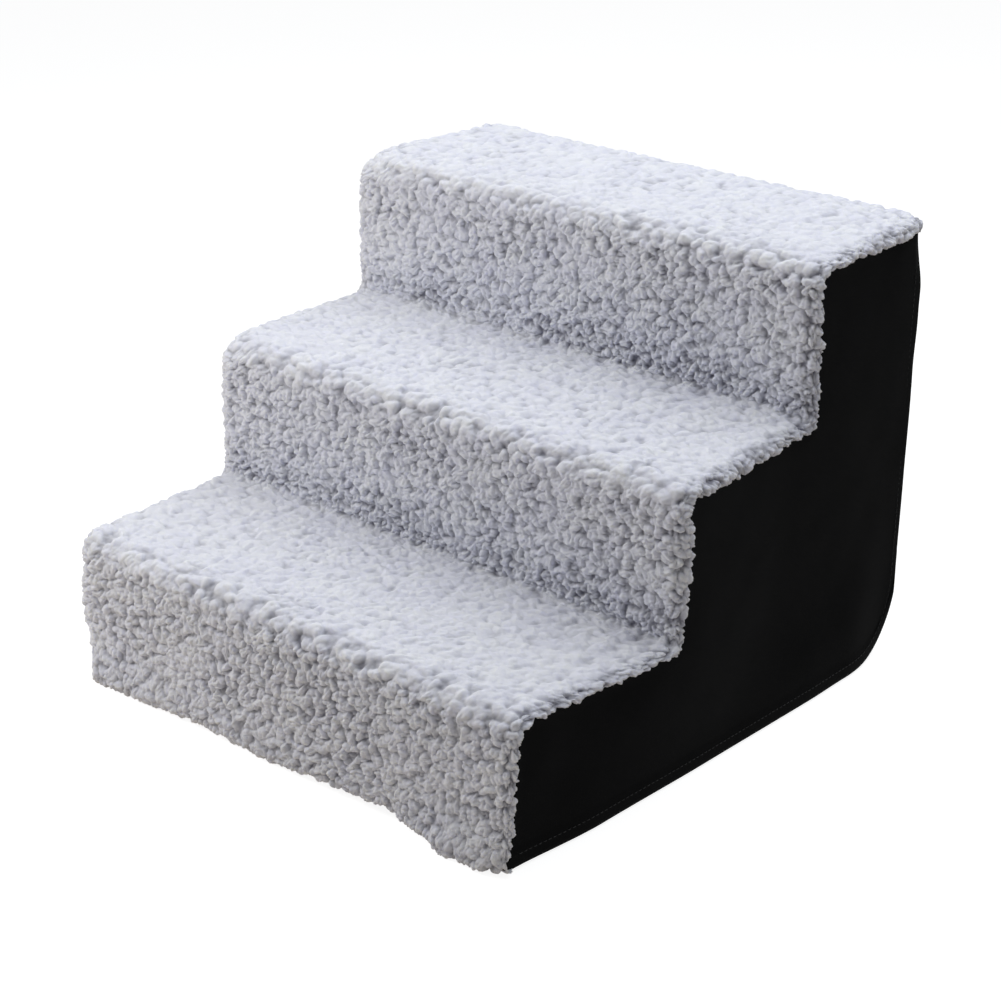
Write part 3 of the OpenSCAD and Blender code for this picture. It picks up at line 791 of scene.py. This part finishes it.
def fleece_runner():
    """The runner in six meshes that meet point to point on the noses and in the crooks."""
    stretches = [ring_places(a, b) for a, b in zip(TURNS, TURNS[1:])]
    s = np.concatenate([stretches[0], *[t[1:] for t in stretches[1:]]])
    rings, normals, shade, outer = runner_surface(s)
    start = 0
    for k, name in enumerate(STRETCHES):
        end = start + len(stretches[k])
        here = slice(start, end)
        piece = fleece_piece("fleece_" + name, rings[here], normals[here], shade[here], outer)
        fit(piece, FLEECE, "cover", "fleece_runner" if k == 0 else None)
        start = end - 1


fleece_runner()


# The black cloth of the sides and the back
SIDE_NAMES = {-1: "left", 1: "right"}
CLOTH_GRID = 2.5 * MM
# The seam between side and back: its round, where the two cloths meet on it, and its mesh
SEAM_R = 3 * MM
SEAM_HALF = math.sqrt(0.5)
SEAM_STEP = SEAM_R * (1 - SEAM_HALF)
SEAM_GRID = 0.7 * MM
# The turned hem: its width, the second cloth's thickness and the step at its edge
HEM_BAND = 11 * MM
HEM_T = 0.6 * MM
HEM_EDGE = 1.2 * MM
# How far forward the right cloth's foot reaches, over what run and up to where; the round of both feet
FRONT_REACH = 2.5 * MM
FRONT_RUN = 20 * MM
FRONT_LEVEL = (35 * MM, -25 * MM)
FRONT_CORNER_R = 6 * MM
# How far under the fleece's lips the cloths lie flat
LIP_COVER = 12 * MM
# Below this height a side cloth's mesh follows its lower rear corner
FLAT_TO = 120 * MM
# The lower rear corner's reach along Y and Z, and how square it is
CORNER_Y = 56 * MM
CORNER_Z = 60 * MM
SQUARENESS = 2.3
BACK_HEM_Z = 18 * MM
# Heights of the cloths' broad and narrow waves, and how far from an edge they are full
SIDE_WAVES = (1.3 * MM, 0.35 * MM)
BACK_WAVES = (1.5 * MM, 0.4 * MM)
WAVE_RUN = 30 * MM
HEM_WAVE_RUN = 40 * MM
BACK_WAVE_LEVEL = (90 * MM, 30 * MM)
PUFF_A = Noise(31, 75 * MM)
PUFF_B = Noise(32, 24 * MM)
# Stitches, and the places of the rings along each one with a ring's sides
STITCH_PITCH = 4 * MM
STITCH_L = 2.8 * MM
STITCH_R = 0.28 * MM
STITCH_IN = 8 * MM
STITCH_RINGS = np.array([-1, -0.85, -0.4, 0.4, 0.85, 1])
STITCH_SIDES = 6


def rear_at(z):
    """Y of the cloth's rear at heights z, round its lower rear corner."""
    down = np.clip((HEM_Z + CORNER_Z - z) / CORNER_Z, 0, 1)
    return CLOTH_BACK_Y - CORNER_Y * (1 - (1 - down**SQUARENESS) ** (1 / SQUARENESS))


def spaced(a, b, step):
    return np.linspace(a, b, max(2, int(round(abs(b - a) / step)) + 1))


def chained(places, step):
    """Places in a row, with the stretch between each two filled in evenly."""
    runs = [spaced(a, b, step)[1:] for a, b in zip(places, places[1:])]
    return np.concatenate([places[:1], *runs])


def grid_quads(columns, rows):
    """The quads of a grid of points, and the column and row of each."""
    j, k = np.meshgrid(np.arange(columns - 1), np.arange(rows - 1), indexing="ij")
    j, k = j.ravel(), k.ravel()
    quads = [j * rows + k, (j + 1) * rows + k, (j + 1) * rows + k + 1, j * rows + k + 1]
    return np.stack(quads, 1), j, k


def thick_sheet(name, outer, inner, quads):
    """A closed sheet from two like sets of points and the quads that join the outer ones."""
    count = len(outer)
    edges = np.concatenate([quads[:, [k, (k + 1) % 4]] for k in range(4)])
    keys = edges[:, 0] * count + edges[:, 1]
    free = edges[~np.isin(edges[:, 1] * count + edges[:, 0], keys)]
    walls = np.stack([free[:, 1], free[:, 0], free[:, 0] + count, free[:, 1] + count], 1)
    faces = np.concatenate([quads, quads[:, ::-1] + count, walls])
    used, index = np.unique(faces, return_inverse=True)
    points = np.concatenate([outer, inner])[used]
    return new_mesh(name, points, index.reshape(-1), np.full(len(faces), 4))


def at_lengths(s, run, values):
    """Values at lengths s along a line whose own points lie at the lengths in run."""
    return np.stack([np.interp(s, run, v) for v in values.T], 1)


def stitches(name, line, outward, body="cover"):
    """One piece of raised stitches along a line of points, seen from outward."""
    steps = np.linalg.norm(np.diff(line, axis=0), axis=1)
    run = np.concatenate([[0], np.cumsum(steps)])
    middles = np.arange(STITCH_PITCH, run[-1] - STITCH_PITCH / 2, STITCH_PITCH)
    start, end = (at_lengths(middles + way, run, line) for way in (-STITCH_L / 2, STITCH_L / 2))
    out = at_lengths(middles, run, outward)
    ahead = end - start
    ahead /= np.linalg.norm(ahead, axis=1)[:, None]
    beside = np.cross(ahead, out)
    t = STITCH_RINGS
    thick = STITCH_R * np.sqrt(np.clip(1.05 - t**4, 0, 1))
    lift = STITCH_R * (0.9 - 1.5 * t**2)
    turn = np.arange(STITCH_SIDES) * 2 * math.pi / STITCH_SIDES
    centre = (start + end)[:, None, :] / 2 + t[None, :, None] * STITCH_L / 2 * ahead[:, None, :]
    centre = centre + lift[None, :, None] * out[:, None, :]
    ring = np.cos(turn)[:, None] * out[:, None, None, :] + np.sin(turn)[:, None] * beside[:, None, None, :]
    points = (centre[:, :, None, :] + thick[None, :, None, None] * ring).reshape(-1, 3)
    loops, counts = tube(len(t), STITCH_SIDES)
    each = len(t) * STITCH_SIDES * np.arange(len(middles))[:, None]
    made = new_mesh(name, points, (loops + each).ravel(), np.tile(counts, len(middles)))
    fit(made, THREAD, body)
    return made


def hem_of(y):
    """Z of the side cloths' lower edge at places y, round the lower rear corner."""
    past = np.clip((y - CLOTH_BACK_Y + CORNER_Y) / CORNER_Y, 0, 1)
    return HEM_Z + CORNER_Z * (1 - (1 - past**SQUARENESS) ** (1 / SQUARENESS))


def side_stitches(side):
    """Stitches along a side cloth's turned hem, round its lower rear corner and up its rear seam."""
    y = np.concatenate([spaced(NOSE_Y[0] + FLEECE_T + 3 * MM, CLOTH_BACK_Y - CORNER_Y, MM),
                        CLOTH_BACK_Y - CORNER_Y * (1 - np.sin(spaced(0.01, math.pi / 2, 0.01)))])
    edge = np.stack([y, hem_of(y)], 1)
    edge = np.concatenate([edge, [[CLOTH_BACK_Y, TREAD_Z[2] - 2 * REAR_DROP]]])
    ahead = np.gradient(edge, axis=0)
    ahead /= np.linalg.norm(ahead, axis=1)[:, None]
    edge += STITCH_IN * np.stack([-ahead[:, 1], ahead[:, 0]], 1)
    high = HEM_T + side_puff(side, edge[:, 0], edge[:, 1], STITCH_IN)
    line = np.stack([side * (CLOTH_X - HEM_T + high), edge[:, 0], edge[:, 1]], 1)
    outward = np.tile([float(side), 0, 0], (len(line), 1))
    line = soften(line, CLOTH_CORNER_R, -CLOTH_PLAY)
    return stitches("hem_stitches_" + SIDE_NAMES[side], line, outward)


def waves(a, b, heights):
    """Soft waves of a cloth at places along it."""
    return heights[0] * PUFF_A.at(a, b) + heights[1] * PUFF_B.at(a, b)


def side_puff(side, y, z, from_hem):
    """How far a side cloth bulges in soft waves away from its edges."""
    inside = smoothstep((CLOTH_BACK_Y - y) / WAVE_RUN) * smoothstep(from_hem / HEM_WAVE_RUN)
    return waves(y + side, z, SIDE_WAVES) * inside


def hem_band(from_hem):
    """Thickness that the turned hem adds at heights above the cloth's edge."""
    return HEM_T * smoothstep((HEM_BAND - from_hem) / HEM_EDGE)


def onto_round(y, z, corner, toward, r):
    """Pulls a side cloth's places near a corner onto a round of radius r; toward points out of it."""
    centre = (corner[0] - toward[0] * r, corner[1] - toward[1] * r)
    u = (y - centre[0]) * toward[0] / r
    v = (z - centre[1]) * toward[1] / r
    share = np.where(np.maximum(u, v) < 1 + 1e-6, to_round(u, v), 1)
    return centre[0] + (y - centre[0]) * share, centre[1] + (z - centre[1]) * share


def under_lips(y, z, fronts, tops, inset):
    """Bends a side cloth's places so that its edge follows the fleece's noses and crooks."""
    y, z = onto_round(y, z, (fronts[0], HEM_Z), (-1, -1), FRONT_CORNER_R)
    for i in range(3):
        y, z = onto_round(y, z, (fronts[i], tops[i]), (-1, 1), NOSE_R - inset[i])
    for i in range(2):
        y, z = onto_round(y, z, (fronts[i + 1], tops[i]), (1, -1), CROOK_R + inset[i])
    return y, z


def of_step(at, edges, values):
    """The value of the step that each place lies on; edges are where the second and third begin."""
    return np.where(at > edges[1], values[2], np.where(at > edges[0], values[1], values[0]))


def side_cloth(side):
    """Side cloth with its rounded lower rear corner, a soft rear seam and a turned hem."""
    inset = RIGHT_INSET if side > 0 else LEFT_INSET
    fronts = list(NOSE_Y + inset)
    tops = list(TREAD_Z - inset)
    corner_y = CLOTH_BACK_Y - CORNER_Y
    turn = spaced(0, math.pi / 2, CLOTH_GRID / CORNER_Z)[1:]
    y = np.concatenate([chained([*fronts, corner_y], CLOTH_GRID), corner_y + CORNER_Y * np.sin(turn)])
    z = chained([HEM_Z, *tops], CLOTH_GRID)
    Y, Z = np.meshgrid(y, z, indexing="ij")
    low = np.clip((FLAT_TO - Z) / (FLAT_TO - HEM_Z), 0, 1)
    placed = Z + (hem_of(Y) - HEM_Z) * low
    from_hem = placed - hem_of(Y)
    # The rear edge turns in to the middle of the seam, and goes on straight under the back cloth
    t = np.clip((Y - CLOTH_BACK_Y + SEAM_R) / SEAM_R, 0, 1)
    turn_in = SEAM_R * (1 - np.sqrt(1 - np.minimum(t, SEAM_HALF) ** 2))
    back = SEAM_R * np.maximum(t - SEAM_HALF, 0)
    # Under the fleece's lips the cloth lies flat
    covered = np.minimum(of_step(Y, fronts[1:], tops) - Z, Y - of_step(Z, tops, fronts))
    puff = side_puff(side, Y, placed, from_hem) * smoothstep(covered / LIP_COVER)
    X = side * (CLOTH_X - HEM_T + hem_band(from_hem) + puff - turn_in)
    foot = grown(Z, FRONT_LEVEL) * grown(Y, (fronts[0] + FRONT_RUN, -FRONT_RUN))
    shown_y, shown_z = under_lips(Y, placed, fronts, tops, inset)
    shown_y = shown_y - FRONT_REACH * foot * (side > 0) - back
    outer = soften(np.stack([X, shown_y, shown_z], 2).reshape(-1, 3), CLOTH_CORNER_R, -CLOTH_PLAY)
    inner = outer - np.array([side * CLOTH_T, 0, 0])
    quads, j, k = grid_quads(len(y), len(z))
    kept = z[k + 1] < of_step((y[j] + y[j + 1]) / 2, fronts[1:], tops) + 0.1 * MM
    quads = quads[kept] if side > 0 else quads[kept, ::-1]
    name = SIDE_NAMES[side]
    made = thick_sheet("black_side_" + name, outer, inner, quads)
    finish_cloth(made, "side_cloth_" + name, side_stitches(side))


def finish_cloth(made, replaced, sewn):
    fit(made, CLOTH, "cover", replaced)


def back_cloth():
    """Back cloth between the two side seams, with a turned hem where the kick board starts."""
    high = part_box("back_cloth")[1]
    reach = CLOTH_X - SEAM_STEP
    seam = reach - SEAM_R
    x = np.concatenate([spaced(-reach, -seam, SEAM_GRID), spaced(-seam, seam, CLOTH_GRID)[1:],
                        spaced(seam, reach, SEAM_GRID)[1:]])
    z = spaced(BACK_HEM_Z, high.z, CLOTH_GRID)
    X, Z = np.meshgrid(x, z, indexing="ij")
    t = np.clip((np.abs(X) - CLOTH_X + SEAM_R) / SEAM_R, 0, 1)
    turn_in = SEAM_R * (1 - np.sqrt(1 - t**2))
    inside = smoothstep((reach - np.abs(X)) / WAVE_RUN) * grown(Z, BACK_WAVE_LEVEL)
    puff = waves(X, Z, BACK_WAVES) * inside
    Y = rear_at(Z) - SEAT_GAP + hem_band(Z - BACK_HEM_Z) + puff - turn_in
    outer = soften(np.stack([X, Y, Z], 2).reshape(-1, 3), CLOTH_CORNER_R, -CLOTH_PLAY)
    inner = outer - np.array([0, CLOTH_T, 0])
    quads = grid_quads(len(x), len(z))[0][:, [0, 3, 2, 1]]
    made = thick_sheet("black_back", outer, inner, quads)
    finish_cloth(made, "back_cloth", back_stitches(reach))


def back_stitches(reach):
    """Stitches along the back cloth's turned hem, from seam to seam."""
    x = spaced(-reach + SEAM_R, reach - SEAM_R, 2 * MM)
    z = np.full_like(x, BACK_HEM_Z + STITCH_IN)
    slope = (rear_at(z + MM) - rear_at(z - MM)) / (2 * MM)
    outward = np.stack([0 * x, 1 / np.hypot(1, slope), -slope / np.hypot(1, slope)], 1)
    line = np.stack([x, rear_at(z) - SEAT_GAP + HEM_T, z], 1)
    return stitches("hem_stitches_back", soften(line, CLOTH_CORNER_R), outward)


side_cloth(-1)
side_cloth(1)
back_cloth()


# The hook and loop strips, as tape with soft round corners and a stitched border
TAPE_GRID = 2 * MM
TAPE_CORNER_R = 3 * MM
TAPE_IN = 2 * MM
TAPE_SINK = 0.15 * MM


def tape(name, replaced, body, made_of, follow):
    """A strip in its CAD node's place: a thin pillow of tape, moved by follow, with stitches round it."""
    low, high = (np.array(c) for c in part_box(replaced))
    size = high - low
    thin = int(np.argmin(size))
    wide, tall = [k for k in (0, 1, 2) if k != thin]
    middle = (low + high) / 2
    outward = np.zeros(3)
    outward[thin] = math.copysign(1, middle[thin]) * (1 if body == "frame" else -1)
    half = size / 2

    def placed(u, v, depth):
        """Points across and up the tape; depth 0 is its face and 1 its back."""
        du = np.clip((np.abs(u) - half[wide] + TAPE_CORNER_R) / TAPE_CORNER_R, 0, 1)
        dv = np.clip((np.abs(v) - half[tall] + TAPE_CORNER_R) / TAPE_CORNER_R, 0, 1)
        pull = (1 - to_round(du, dv)) * TAPE_CORNER_R
        rim = np.minimum(half[wide] - np.abs(u), half[tall] - np.abs(v))
        face = half[thin] - 0.3 * size[thin] * smoothstep(1 - rim / TAPE_IN)
        points = np.empty((*u.shape, 3))
        points[..., wide] = middle[wide] + u - np.sign(u) * du * pull
        points[..., tall] = middle[tall] + v - np.sign(v) * dv * pull
        points[..., thin] = middle[thin] + outward[thin] * (face * (1 - depth) - half[thin] * depth)
        return follow(points.reshape(-1, 3))

    u = spaced(-half[wide], half[wide], TAPE_GRID)
    v = spaced(-half[tall], half[tall], TAPE_GRID)
    U, V = np.meshgrid(u, v, indexing="ij")
    quads = grid_quads(len(u), len(v))[0]
    if np.cross(np.eye(3)[wide], np.eye(3)[tall]) @ outward < 0:
        quads = quads[:, ::-1]
    made = thick_sheet(name, placed(U, V, 0), placed(U, V, 1), quads)
    fit(made, made_of, body, replaced)
    turns = [(-1, -1), (1, -1), (1, 1), (-1, 1), (-1, -1)]
    corners = np.array(turns) * (half[[wide, tall]] - TAPE_IN)
    round_trip = np.concatenate([np.linspace(a, b, 60) for a, b in zip(corners, corners[1:])])
    line = placed(round_trip[:, 0], round_trip[:, 1], 0)
    sewn = stitches(name + "_stitches", line, np.tile(outward, (len(line), 1)), body)


def with_side(points):
    """Follows the inner face of a side cloth, with its soft waves."""
    side = np.sign(points[:, 0])
    shift = side_puff(side, points[:, 1], points[:, 2], points[:, 2] - HEM_Z) - HEM_T - 2 * TAPE_SINK
    return soften(points + np.stack([side * shift, 0 * side, 0 * side], 1), CLOTH_CORNER_R, -CLOTH_PLAY)


def with_back(points):
    """Follows the inner face of the back cloth."""
    return soften(points - np.array([0, HEM_T / 2 + TAPE_SINK, 0]), CLOTH_CORNER_R)


def with_hem(points):
    """Follows the back of the fleece, which thins towards its front hem."""
    s = HEM_END + points[:, 2] - HEM_Z - HEM_R
    thinned = (1 - HEM_SHRINK) * FLEECE_T * smoothstep((HEM_END + SHRINK_RUN - s) / SHRINK_RUN)
    return soften(points - np.stack([0 * s, thinned, 0 * s], 1), CLOTH_CORNER_R)


for place, cover_bend, cover_rest, frame_rest in (
        ("left", with_side, "black_side_left", "side_panel_low_left"),
        ("right", with_side, "black_side_right", "side_panel_low_right"),
        ("front", with_hem, "fleece_riser_low", "riser_board_low"),
        ("rear", with_back, "black_back", "back_board_lower")):
    tape("loop_tape_" + place, "loop_strip_" + place, "cover", LOOP, cover_bend)
    tape("hook_tape_" + place, "hook_strip_" + place, "frame", HOOK, as_it_is)


# Floor, light and camera
FLOOR_HALF = 14.0


def cleared(made):
    """The emptied node tree of a material or world."""
    made.use_nodes = True
    made.node_tree.nodes.clear()
    return made.node_tree


def seen_by(tree, *rays):
    """1 for the kinds of ray that are named, and 0 for any other."""
    path = node(tree, "LightPath")
    seen = path.outputs[rays[0]]
    for ray in rays[1:]:
        seen = node(tree, "Math", {0: seen, 1: path.outputs[ray]}, operation="MAXIMUM").outputs[0]
    return seen


def floor_material():
    """White floor that keeps the shadow; what the camera and reflections see of it is near white."""
    made = bpy.data.materials.new("studio_floor")
    tree = cleared(made)
    seen = seen_by(tree, "Is Camera Ray", "Is Glossy Ray", "Is Transmission Ray")
    plain = node(tree, "BsdfDiffuse", Color=(0.86, 0.78, 0.68, 1))
    part = node(tree, "BsdfDiffuse", Color=(0.4, 0.4, 0.4, 1))
    glow = node(tree, "Emission", Color=(1, 1, 1, 1), Strength=0.88)
    both = node(tree, "AddShader", {0: part.outputs[0], 1: glow.outputs[0]})
    mix = node(tree, "MixShader", {0: seen, 1: plain.outputs[0], 2: both.outputs[0]})
    node(tree, "OutputMaterial", {"Surface": mix.outputs[0]})
    return made


def floor():
    corners = FLOOR_HALF * np.array([[-1, -1, 0], [1, -1, 0], [1, 1, 0], [-1, 1, 0]])
    made = new_mesh("studio_floor", corners, np.arange(4), np.array([4]), smooth=False)
    dress(made, floor_material())


def world():
    """White as seen, and a plain ambient light on the object."""
    made = bpy.data.worlds.new("studio")
    bpy.context.scene.world = made
    tree = cleared(made)
    seen = seen_by(tree, "Is Camera Ray", "Is Transmission Ray")
    ambient = node(tree, "Background", Color=(0.93, 0.96, 1.0, 1), Strength=0.2)
    white = node(tree, "Background", Color=(1, 1, 1, 1), Strength=1.0)
    mix = node(tree, "MixShader", {0: seen, 1: ambient.outputs[0], 2: white.outputs[0]})
    node(tree, "OutputWorld", {"Surface": mix.outputs[0]})


def lamp(name, at, target, size, power, colour):
    data = bpy.data.lights.new(name, "AREA")
    data.shape = "DISK"
    data.size = size
    data.energy = power
    data.color = colour
    made = bpy.data.objects.new(name, data)
    made.location = at
    made.rotation_euler = (Vector(target) - Vector(at)).to_track_quat("-Z", "Y").to_euler()
    bpy.context.scene.collection.objects.link(made)


# The camera that a fit to the stairs' corners in the photo gives
AZIMUTH = math.radians(43.1)
ELEVATION = math.radians(23.7)
ROLL = math.radians(-0.8)
DISTANCE = 1.6085
TARGET = Vector((0.0137, -0.009, 0.1259))
FOCAL_PX = 2381.9
PICTURE_PX = 1001
SENSOR_MM = 36


def camera():
    data = bpy.data.cameras.new("camera")
    data.sensor_width = SENSOR_MM
    data.sensor_fit = "HORIZONTAL"
    data.lens = FOCAL_PX / PICTURE_PX * SENSOR_MM
    data.clip_start = 0.05
    data.clip_end = 60
    made = bpy.data.objects.new("camera", data)
    level = math.cos(ELEVATION)
    back = Vector((math.sin(AZIMUTH) * level, -math.cos(AZIMUTH) * level, math.sin(ELEVATION)))
    right = (-back).cross(Vector((0, 0, 1))).normalized()
    up = right.cross(-back)
    x_axis = right * math.cos(ROLL) + up * math.sin(ROLL)
    y_axis = -right * math.sin(ROLL) + up * math.cos(ROLL)
    turned = Matrix((x_axis, y_axis, back)).transposed().to_4x4()
    made.matrix_world = Matrix.Translation(TARGET + back * DISTANCE) @ turned
    bpy.context.scene.collection.objects.link(made)
    bpy.context.scene.camera = made


floor()
world()
lamp("key", (-0.82, -0.6, 0.7), (0, 0, 0.12), 0.5, 5.45, (1.0, 0.985, 0.965))
lamp("top", (0.1, 0.45, 1.25), (0, 0.05, 0.2), 1.5, 11.8, (0.94, 0.965, 1.0))
camera()
bpy.context.scene.view_settings.view_transform = "Standard"
